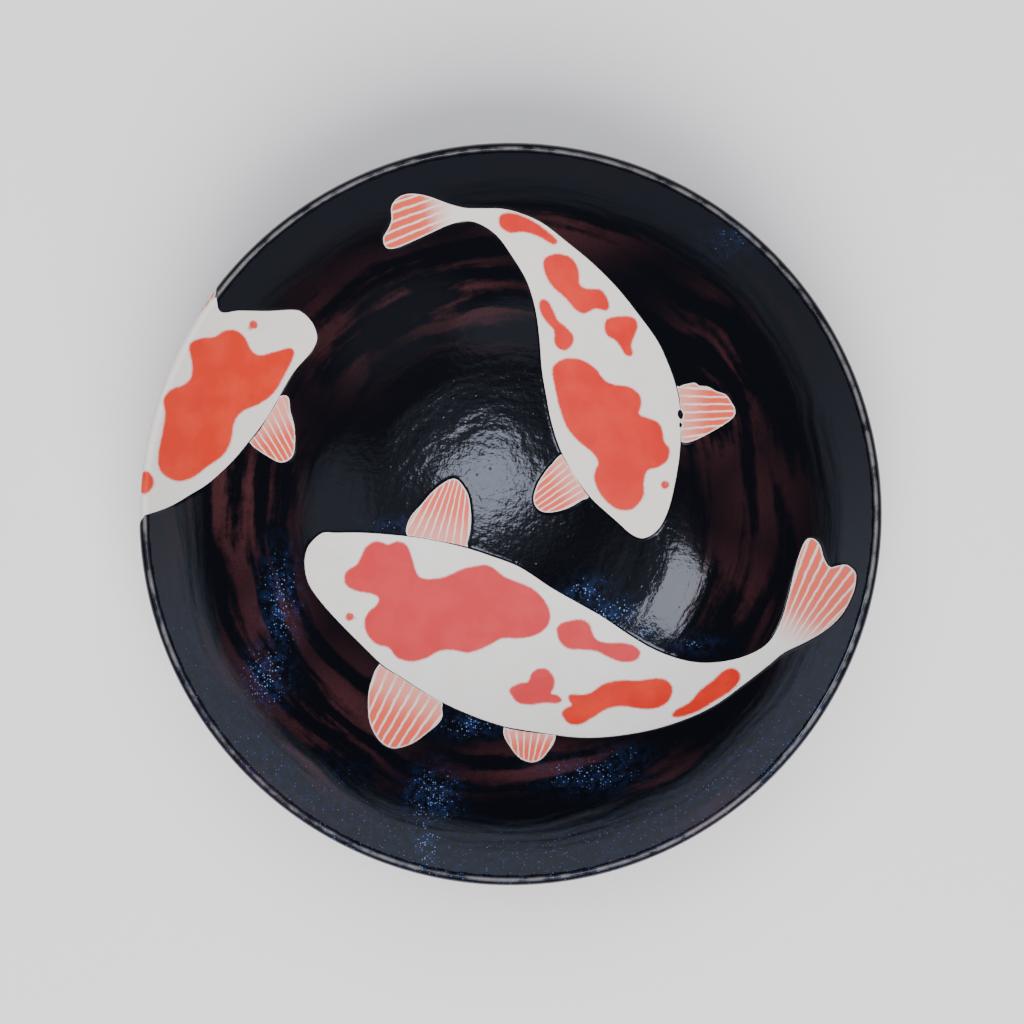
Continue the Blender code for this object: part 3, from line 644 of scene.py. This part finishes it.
# The glaze that is left between a body and its fins: a hairline that swells and thins.
seams = {}
for name, line in bodies.items():
    turn = np.linspace(0.0, 2.0 * math.pi, len(line), endpoint=False)
    seams[name] = grow(line, HAIRLINE + 0.13 * np.sin(turn * 9.0) + 0.07 * np.sin(turn * 23.0 + 1.0))

# The inner face, seen from above, out to the crest of the lip.
crest_ring = circle((0.0, 0.0), CREST, RING_CORNERS)
fin_lines = [line for _, line in fins.values()]
lines = [(line, True) for line in [crest_ring, *bodies.values(), *fin_lines, *patches.values(),
                                   *eyes.values(), *drops]]
for name, seam in seams.items():
    for koi, fin in fins.values():
        keep = np.flatnonzero(inside(seam, grow(fin, 0.5))) if koi == name else []
        runs = np.split(keep, np.flatnonzero(np.diff(keep) > 1) + 1)
        lines += [(seam[run], False) for run in runs if len(run) > 1]
rows = beside([*bodies.values(), *fin_lines], (*EDGE_REACHES, -0.7))
rows += beside(patches.values(), RED_REACHES, 0.8)
grid = [(0.0, 0.0, GRID_STEP)]
for radius in np.concatenate([np.arange(GRID_STEP, 120.5, GRID_STEP), [121.0, 121.6]]):
    count = int(2.0 * math.pi * radius / GRID_STEP)
    grid += [(x, y, GRID_STEP if radius < 120.0 else 0.9) for x, y in circle((0, 0), radius, count)]
for radius in np.arange(121.9, CREST - 0.1, LIP_ROW):
    grid += [(x, y, 0.3) for x, y in circle((0, 0), radius, LIP_CORNERS)]
grid = [p for p in grid if math.hypot(p[0], p[1]) < CREST - 0.15]
rows = [p for p in rows if math.hypot(p[0], p[1]) < CREST - 0.15]
plan, plan_faces = triangulate(lines, rows, grid)
middle = plan[plan_faces].mean(1)
plan_faces = plan_faces[np.linalg.norm(middle, axis=1) < CREST]
middle = plan[plan_faces].mean(1)


def crossings(line):
    """Angles in degrees at which a closed line crosses the crest of the lip, in rising order."""
    radius = np.linalg.norm(line, axis=1)
    after = np.roll(np.arange(len(line)), -1)
    found = []
    for index in np.flatnonzero((radius < CREST) != (radius[after] < CREST)):
        share = (CREST - radius[index]) / (radius[after[index]] - radius[index])
        point = line[index] + (line[after[index]] - line[index]) * share
        found.append(math.degrees(math.atan2(point[1], point[0])) % 360.0)
    return sorted(found)


def unrolled(points, ends=None):
    """Closed line on the outside wall, in mm round the bowl and mm down. With ends it starts and
    stops on the lip's crest at those two angles."""
    line = curve([(angle * TURN, down) for angle, down in points])
    if ends is None:
        return line
    line = line[line[:, 1] > 0.5]
    return np.concatenate([[(ends[0] * TURN, 0.0)], line, [(ends[1] * TURN, 0.0)]])


# The outside wall, unrolled. It starts from the corners that the inner face has on the crest.
on_crest = np.flatnonzero(np.abs(np.linalg.norm(plan, axis=1) - CREST) < 0.004)
turns = np.degrees(np.arctan2(plan[on_crest, 1], plan[on_crest, 0])) % 360.0
turns[turns > 359.999] = 0.0
order = np.argsort(turns)
on_crest, turns = on_crest[order], turns[order]
body_ends, spot_ends = [
    [turns[np.argmin(np.abs(turns - angle))] for angle in crossings(line)]
    for line in (bodies["left"], patches["left_koi_lip_spot"])]
rear = unrolled(REAR, body_ends)
far_fin = unrolled(FAR_FIN)
rear_patch, rear_spot = unrolled(REAR_PATCH), unrolled(REAR_SPOT)
half_turn = np.linspace(0.0, math.pi, 14)
spot_middle, spot_half = sum(spot_ends) / 2.0 * TURN, (spot_ends[1] - spot_ends[0]) / 2.0 * TURN
rear_lip_spot = np.stack([spot_middle - spot_half * np.cos(half_turn), 3.4 * np.sin(half_turn)], axis=1)

top = np.stack([np.append(turns, 360.0) * TURN, np.zeros(len(turns) + 1)], axis=1)
downs = np.concatenate([np.arange(0.3, 4.2, 0.3), np.arange(4.6, END - 1.0, 2.2),
                        [END - 0.4, END, END + 0.2, END + 0.4, END + 0.6, END + 0.8, END + CLOSE]])
left_edge = np.stack([np.zeros(len(downs)), downs], axis=1)
right_edge = left_edge + [360.0 * TURN, 0.0]
lines = [(top, False), (rear, False), (rear_lip_spot, False), (far_fin, True), (rear_patch, True),
         (rear_spot, True), (left_edge, False), (right_edge, False)]
rows = beside((rear, far_fin), EDGE_REACHES) + beside((rear_patch, rear_spot), RED_REACHES, 0.8)
rows = [p for p in rows if 0.3 < p[1] < END - 0.6 and 1.0 < p[0] < 360.0 * TURN - 1.0]
grid = []
for down in downs:
    count, spacing = (LIP_CORNERS, 0.25) if down < 4.5 or down > END - 0.5 else (300, GRID_STEP)
    grid += [(x, down, spacing) for x in (np.arange(count) + 0.5) * 360.0 * TURN / count]
wrap, wrap_faces = triangulate(lines, rows, grid)
wrap_faces = wrap_faces[wrap[wrap_faces][:, :, 1].mean(1) > 1e-4]
wrap_middle = wrap[wrap_faces].mean(1)


def near_lines(places, several):
    """Distance from each place to the nearest of several lines."""
    return np.min([distance(places, line) for line in several], axis=0)


def swell(gap, rise, width):
    """Height of a rounded edge at a distance from it."""
    share = np.clip(gap / width, 0.0, 1.0)
    return rise * np.sqrt(1.0 - (1.0 - share) ** 2)


def red_reach(places, several):
    """How far each place lies inside a red edge, less than nothing outside it."""
    found = -near_lines(places, several)
    for line in several:
        found[inside(places, grow(line, -0.01))] *= -1.0
    return found


def corners_of(count, faces, chosen):
    """True for each of count points that is a corner of a chosen triangle."""
    found = np.zeros(count, bool)
    found[faces[chosen]] = True
    return found


plan_window = near_lines(plan, [*bodies.values(), *fin_lines, *drops])
wrap_window = near_lines(wrap, [rear, far_fin])
plan_patch = red_reach(plan, [*patches.values(), *(grow(line, EYE_SPRAY) for line in eyes.values())])
wrap_patch = red_reach(wrap, [rear_patch, rear_spot, rear_lip_spot])

# Which piece each triangle of the inner face belongs to. Later ones lie on top.
owner = np.full(len(plan_faces), "black_glaze_coat", dtype=object)
for node, (name, line) in fins.items():
    owner[inside(middle, line) & ~inside(middle, seams[name])] = node
for name, line in bodies.items():
    owner[inside(middle, line)] = name + "_koi_body"
for node, line in [*patches.items(), *eyes.items()]:
    owner[inside(middle, line)] = node
for line in drops:
    owner[inside(middle, line)] = "glaze_bead"
# And on the outside wall.
wrap_owner = np.full(len(wrap_faces), "black_glaze_coat", dtype=object)
for node, line in (("left_koi_far_fin", far_fin), ("left_koi_body", rear),
                   ("left_koi_lip_spot", rear_lip_spot)):
    wrap_owner[inside(wrap_middle, line)] = node

# Points of the inner face in space: glaze stands proud of the slip with a rounded edge.
radius = np.linalg.norm(plan, axis=1)
slope = slope_at(radius)
outward = plan / np.maximum(radius, 1e-9)[:, None]
plan_normal = np.column_stack([-outward * np.sin(slope)[:, None], np.cos(slope)])
beaded = corners_of(len(plan), plan_faces, owner == "glaze_bead")
glazed = corners_of(len(plan), plan_faces, owner == "black_glaze_coat")
coloured = corners_of(len(plan), plan_faces, (owner != "black_glaze_coat") & (owner != "glaze_bead"))
rise = np.where(glazed & ~coloured, swell(plan_window, GLAZE_RISE, GLAZE_EDGE), 0.0)
rise = np.where(beaded, swell(near_lines(plan, drops), DROP_RISE, GLAZE_EDGE), rise)
plan_space = np.column_stack([plan, height_at(radius)]) + plan_normal * rise[:, None]

# Points of the outside wall in space. Past END the glaze rolls in towards the bare foot.
angle = np.radians(wrap[:, 0] / TURN)
across, level, normal_x, normal_z = outside_at(np.minimum(wrap[:, 1], END))
past = np.clip(wrap[:, 1] - END, 0.0, None)
bend = np.minimum(past / FOOT_ROLL_TRAVEL, 1.0) * math.pi / 2.0
onward = FOOT_ROLL * np.sin(bend)
sunk = FOOT_ROLL * (1.0 - np.cos(bend)) + np.clip(past - FOOT_ROLL_TRAVEL, 0.0, None)
glazed = corners_of(len(wrap), wrap_faces, wrap_owner == "black_glaze_coat")
coloured = corners_of(len(wrap), wrap_faces, wrap_owner != "black_glaze_coat")
lift = np.where(glazed & ~coloured, swell(wrap_window, GLAZE_RISE, GLAZE_EDGE), 0.0) - sunk
across = across + normal_x * lift + normal_z * onward
level = level + normal_z * lift - normal_x * onward
wrap_space = np.column_stack([across * np.cos(angle), across * np.sin(angle), level])
wrap_normal = np.column_stack([normal_x * np.cos(angle), normal_x * np.sin(angle), normal_z])
# The two share the crest ring, and the outside closes on itself.
shared = np.arange(len(wrap)) + len(plan)
for index, (x, down) in enumerate(wrap):
    if abs(down) < 1e-6:
        shared[index] = on_crest[np.argmin(np.abs((turns - x / TURN + 180.0) % 360.0 - 180.0))]
    elif x > 360.0 * TURN - 1e-4:
        shared[index] = len(plan) + np.argmin(np.hypot(wrap[:, 0], wrap[:, 1] - down))
space = np.concatenate([plan_space, wrap_space])
normals = np.concatenate([plan_normal, wrap_normal])
every_face = np.concatenate([plan_faces, shared[wrap_faces]])
every_owner = np.concatenate([owner, wrap_owner])
after = np.roll(every_face, -1, axis=1)
whole = (every_face != after).all(1)
every_face, every_owner = every_face[whole], every_owner[whole]
corner = space[every_face]
facing = np.cross(corner[:, 1] - corner[:, 0], corner[:, 2] - corner[:, 0])
backward = (facing * normals[every_face].sum(1)).sum(1) < 0.0
every_face[backward] = every_face[backward][:, ::-1]
facts = {
    "rim_mm": np.concatenate([plan_window, wrap_window]),
    "patch_mm": np.concatenate([plan_patch, wrap_patch]),
    "crest_mm": np.concatenate([np.maximum(CREST - radius, 0.0), wrap[:, 1]]),
}


def skin(name, owner_name, made, nodes, ray=None, flat=True):
    """Makes one piece from its triangles, with its facts stored on the points. A flat one is
    shaded by the bowl's own curve, and one that isn't by its own faces."""
    chosen = every_face[every_owner == owner_name]
    used, index = np.unique(chosen, return_inverse=True)
    mesh = bpy.data.meshes.new(name)
    mesh.from_pydata((space[used] * MM).tolist(), [], index.reshape(-1, 3).tolist())
    for key, values in facts.items():
        made_fact = mesh.attributes.new(key, "FLOAT", "POINT")
        made_fact.data.foreach_set("value", values[used].astype(np.float32))
    vectors = np.zeros((len(used), 3), np.float32)
    if ray is not None:
        vectors = ray(used).astype(np.float32)
    mesh.attributes.new("ray", "FLOAT_VECTOR", "POINT").data.foreach_set("vector", vectors.ravel())
    mesh.materials.append(made)
    mesh.update()
    mesh.shade_smooth()
    if flat:
        mesh.normals_split_custom_set_from_vertices(normals[used].tolist())
    piece = set_out(name, mesh)
    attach(piece, "root")
    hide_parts(*nodes)


# Mirror-bright, with maroon rings some 7 mm apart that are mottled over 4 mm and wander over 50,
# ripples of 2.5 mm where it pooled, and pinholes about 4 mm apart. The real blue specks and maroon
# flecks are finer than a tenth of a millimetre, and are drawn 0.8 and 0.7 mm apart so that they show.
glaze, add, place = start_material("black_glaze")
level_place = add("VectorMath", place, (1, 1, 0), **TIMES)
radial = add("VectorMath", level_place, operation="LENGTH")
ring = add("SeparateXYZ", add("VectorMath", level_place, operation="NORMALIZE")).outputs
wander = add("Math", add("TexNoise", place, 1.0 / (50.0 * MM)), 10.0 * MM, **TIMES)
ringed = add("CombineXYZ", add("Math", ring[0], 11.0 * MM, **TIMES),
             add("Math", ring[1], 11.0 * MM, **TIMES), add("Math", radial, wander, **PLUS))
iron, cobalt_and_rim_reflection, crest_mm = [add("Attribute", attribute_name=fact).outputs["Fac"]
                         for fact in ("iron", "cobalt_and_rim_reflection", "crest_mm")]
# Maroon, where the glaze breaks over the throwing rings.
mottle = add("Math", add("TexNoise", place, 1.0 / (3.85 * MM), 4.0, 0.65), 0.16, **TIMES)
bands = add("Math", add("TexNoise", ringed, 1.0 / (6.67 * MM), 3.0), mottle, **PLUS)
maroon = add("Math", add("MapRange", bands, 0.53, 0.67, **SMOOTH), iron, **TIMES)
fleck = add("TexNoise", place, 1.0 / (0.667 * MM))
fleck = add("MapRange", fleck, 0.25, 0.6, 0.65, 1.0, **SMOOTH)
maroon = add("Math", maroon, fleck, **TIMES)
# Blue, as a haze with brighter specks in it, where the cobalt gathered, and as a painted reflection of the
# pale horizon on the lower rim band.
specks = add("TexVoronoi", place, 1.0 / (0.8 * MM))
chance = add("SeparateColor", specks.outputs["Color"])
chance = add("MapRange", add("Math", chance, cobalt_and_rim_reflection, **PLUS), 1.00, 1.60, **SMOOTH)
dots = add("Math", add("MapRange", specks, 0.42, 0.10, **SMOOTH), chance, **TIMES)
haze = add("TexNoise", place, 1.0 / (3.03 * MM), 5.0, 0.75)
haze = add("Math", cobalt_and_rim_reflection, add("MapRange", haze, 0.42, 0.66, **SMOOTH), **TIMES)
# On the crest of the lip the glaze drains thinner and grey; that grey is also a painted highlight, standing
# for the lip's reflection of bright surroundings.
patchy = add("TexNoise", place, 1.0 / (6.25 * MM), 3.0)
patchy = add("MapRange", patchy, 0.36, 0.60, 0.10, 1.0, **SMOOTH)
thin_glaze_and_highlight = add("Math", add("MapRange", crest_mm, 0.9, 0.1, **SMOOTH), patchy, **TIMES)
colour = add("Mix", maroon, linear("#08090E"), linear("#422427"), **RGBA)
# The last grey mixed in is the crest's painted highlight as well as its thinner glaze.
for amount, most, shade in ((haze, 0.62, "#213868"), (dots, 0.90, "#84A4E4"), (thin_glaze_and_highlight, 0.55, "#7C797B")):
    colour = add("Mix", add("Math", amount, most, **TIMES), colour, linear(shade), **RGBA)
# Relief: ripples strongest on the floor, streaks and throwing rings off the axis, and pinholes.
on_floor = add("MapRange", radial, 74.0 * MM, 50.0 * MM, 0.30, 1.0, **SMOOTH)
ripples = add("TexNoise", place, 1.0 / (2.5 * MM), 3.0, 0.55)
streaks = add("TexNoise", ringed, 1.0 / (2.33 * MM), 3.0, 0.55)
streaky = add("MapRange", radial, 16.0 * MM, 52.0 * MM, 0.0, 0.55, **SMOOTH)
height = add("Math", add("Math", ripples, on_floor, **TIMES),
             add("Math", streaks, streaky, **TIMES), **PLUS)
off_axis = add("MapRange", radial, 16.0 * MM, 52.0 * MM, **SMOOTH)
throwing = add("Math", add("TexNoise", ringed, 1.0 / (9.09 * MM)), off_axis, **TIMES)
pits = add("TexVoronoi", place, 1.0 / (3.85 * MM))
pits = add("Math", add("MapRange", pits, 0.16, 0.02, **SMOOTH), on_floor, **TIMES)
pits = add("Math", 1.0, pits, **MINUS)
bump = add("Bump", named={"Strength": 1.0, "Distance": 0.32 * MM, "Height": throwing})
for strength, depth, relief in ((1.0, 0.075, height), (0.3, 0.08, pits)):
    bump = add("Bump", named={
        "Strength": strength, "Distance": depth * MM, "Height": relief, "Normal": bump})
add("OutputMaterial", add("BsdfPrincipled", named={
    "Base Color": colour, "Roughness": 0.07, "IOR": 1.5, "Normal": bump}))


def gathered(spots):
    """Density at every point from a list of soft spots: x, y, half width, half height, strength."""
    found = np.zeros(len(space))
    for x, y, wide, tall, strength in spots:
        away = ((space[:, 0] - x) / wide) ** 2 + ((space[:, 1] - y) / tall) ** 2
        found = np.maximum(found, strength * np.exp(-away))
    return found


from_axis = np.hypot(space[:, 0], space[:, 1])
# Blue haze from 104 mm out, stronger towards -Y: a painted reflection of the pale horizon in the steep
# lower wall.
painted_rim_reflection = np.clip((from_axis - 104.0) / 10.0, 0.0, 1.0) * np.clip(-space[:, 1] / 80.0, 0.0, 1.0)
facts["cobalt_and_rim_reflection"] = np.maximum(0.26 * painted_rim_reflection, gathered([
    (-80, -30, 6, 16, 0.75), (-84, -56, 7, 10, 0.85), (-27, -97, 9, 9, 0.8), (-29, -112, 5, 9, 0.8),
    (36, -35, 9, 5, 0.9), (27, -27, 8, 4, 0.8), (47, -43, 5, 4, 0.6), (-14, -73, 10, 4, 0.75),
    (26, -90, 16, 5, 0.6), (74, 92, 8, 5, 0.3), (-42, -4, 9, 3, 0.45), (62, -45, 9, 3, 0.5),
    (-66, -92, 20, 8, 0.2), (40, -84, 9, 4, 0.4), (-95, -72, 8, 14, 0.25)]))
facts["iron"] = gathered([
    (-94, 8, 15, 34, 1.0), (-62, -72, 22, 20, 0.95), (10, -88, 26, 8, 0.9), (-22, 76, 30, 12, 0.8),
    (18, 98, 24, 10, 0.55), (72, 44, 16, 26, 0.75), (78, -28, 16, 20, 0.5), (-84, -40, 14, 22, 0.8),
    (86, 6, 14, 20, 0.35), (58, -94, 20, 12, 0.5), (-60, 62, 14, 16, 0.5)])
skin("black_glaze_coat_poured", "black_glaze_coat", glaze, ["black_glaze_coat"], flat=False)
skin("glaze_bead", "glaze_bead", glaze, [], flat=False)
ENDINGS = {"white_slip": "_slip", "red_stain": "_red", "fin_wash": "_wash"}
for node, made, slot, rays, nodes in painted:
    skin(node + ENDINGS[slot], node, made, nodes, rays)

# ----------------------------------------
# Recess glaze. The same glaze inside the foot ring, stopping in a soft roll before the bare ring.
RECESS_END = FOOT_INNER - 1.2
recess_edge = under(RECESS_END, 0.45)
recess_profile = [(0.0, under(0.0, SINK)[1])]
recess_profile += [under(r, SINK) for r in np.linspace(6.0, RECESS_END, 12)]
recess_profile += [(recess_edge[0] + 0.4, recess_edge[1] + 0.1)]
recess_profile += [under(r, 0.0) for r in np.linspace(RECESS_END - 0.4, 6.0, 12)]
recess_profile += [(0.0, under(0.0, 0.0)[1])]
recess = lathe("recess_glaze_pool", recess_profile, 160, glaze)
lip_fact = recess.data.attributes.new("crest_mm", "FLOAT", "POINT")
lip_fact.data.foreach_set("value", [END] * len(recess.data.vertices))
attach(recess, "root")
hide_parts("recess_glaze")

# ----------------------------------------
# Floor, light and camera. A plain pale table under two soft boxes and a dim surround. The table is
# matt card: it takes a soft shadow and shows no reflection.
table, add, _ = start_material("pale_table")
add("OutputMaterial", add("BsdfPrincipled", named={
    "Base Color": linear("#EFEDEE"), "Roughness": 0.8}))
bpy.ops.mesh.primitive_plane_add(size=12.0)
floor = bpy.context.object
floor.name = "floor"
floor.data.materials.append(table)


def heading(azimuth, zenith):
    """Direction of a light from the bowl: degrees from +X round to +Y, and off straight up."""
    turn, lean = math.radians(azimuth), math.radians(zenith)
    return Vector((math.sin(lean) * math.cos(turn), math.sin(lean) * math.sin(turn), math.cos(lean)))


def lamp(name, azimuth, zenith, away, size, radiance, glossy=True, colour="#FFFFFF"):
    """Square soft box aimed at the bowl. radiance is how bright its face is, and one that isn't
    glossy fills without showing as a reflection."""
    light = bpy.data.lights.new(name, "AREA")
    light.shape = "RECTANGLE"
    light.size = size
    light.size_y = size
    light.energy = radiance * math.pi * size * size
    light.color = linear(colour)[:3]
    made = set_out(name, light)
    made.location = Vector((0, 0, 0.03)) + heading(azimuth, zenith) * away
    made.rotation_euler = heading(azimuth, zenith).to_track_quat("Z", "Y").to_euler()
    made.visible_glossy = glossy


lamp("key_near_camera", -57, 4.5, 1.5, 0.22, 9.0, colour="#D3DCF2")
lamp("key_upper_left", 154, 27, 1.5, 0.30, 8.0, colour="#DCE3F4")
lamp("fill_back", 90, 24, 2.4, 2.0, 3.4, glossy=False)
lamp("fill_front", -84, 40, 2.2, 1.8, 8.8, glossy=False)

surround = bpy.data.worlds.new("studio")
bpy.context.scene.world = surround
surround.use_nodes = True
surround.node_tree.nodes.clear()
add = partial(add_node, surround.node_tree)
# A pale horizon low down, brighter on the side that the lower wall reflects.
sight = add("TexCoord").outputs["Generated"]
toward = add("SeparateXYZ", sight).outputs
horizon = add("Math", add("MapRange", toward[2], 0.40, 0.22, **SMOOTH),
              add("MapRange", toward[1], -0.7, 0.5, 0.38, 1.0, **SMOOTH), **TIMES)
strength = add("Math", 1.0, add("Math", horizon, 0.40, **TIMES), **PLUS)
# Soft pools of light on the studio ceiling: azimuth, zenith, inner and outer radius, brightness.
for azimuth, zenith, full, faint, glow in (
        (5, 26, 4, 15, 0.75), (-90, 30, 3, 12, 0.60), (-60, 40, 4, 16, 0.25), (-50, 6, 4, 15, 0.55),
        (150, 24, 4, 15, 0.42)):
    near = add("VectorMath", sight, heading(azimuth, zenith), operation="DOT_PRODUCT")
    pool = add("MapRange", near, math.cos(math.radians(faint)), math.cos(math.radians(full)),
               0.0, glow, **SMOOTH)
    horizon = add("Math", horizon, pool, operation="MAXIMUM")
shade = add("Mix", horizon, linear("#2C2E34"), linear("#CBD4E8"), **RGBA)
add("OutputWorld", add("Background", shade, strength))

# The camera looks straight down on the bowl from 960 mm above its lip, where its view is 345 mm wide.
DISTANCE = 0.960
FRAME_WIDTH = 0.34548
SENSOR = 36.0
lens = bpy.data.cameras.new("camera")
lens.lens = SENSOR * DISTANCE / FRAME_WIDTH
lens.clip_start = 0.01
camera = set_out("camera", lens)
camera.location = (0.0005, 0.0007, DISTANCE + LIP_HEIGHT * MM)
bpy.context.scene.camera = camera
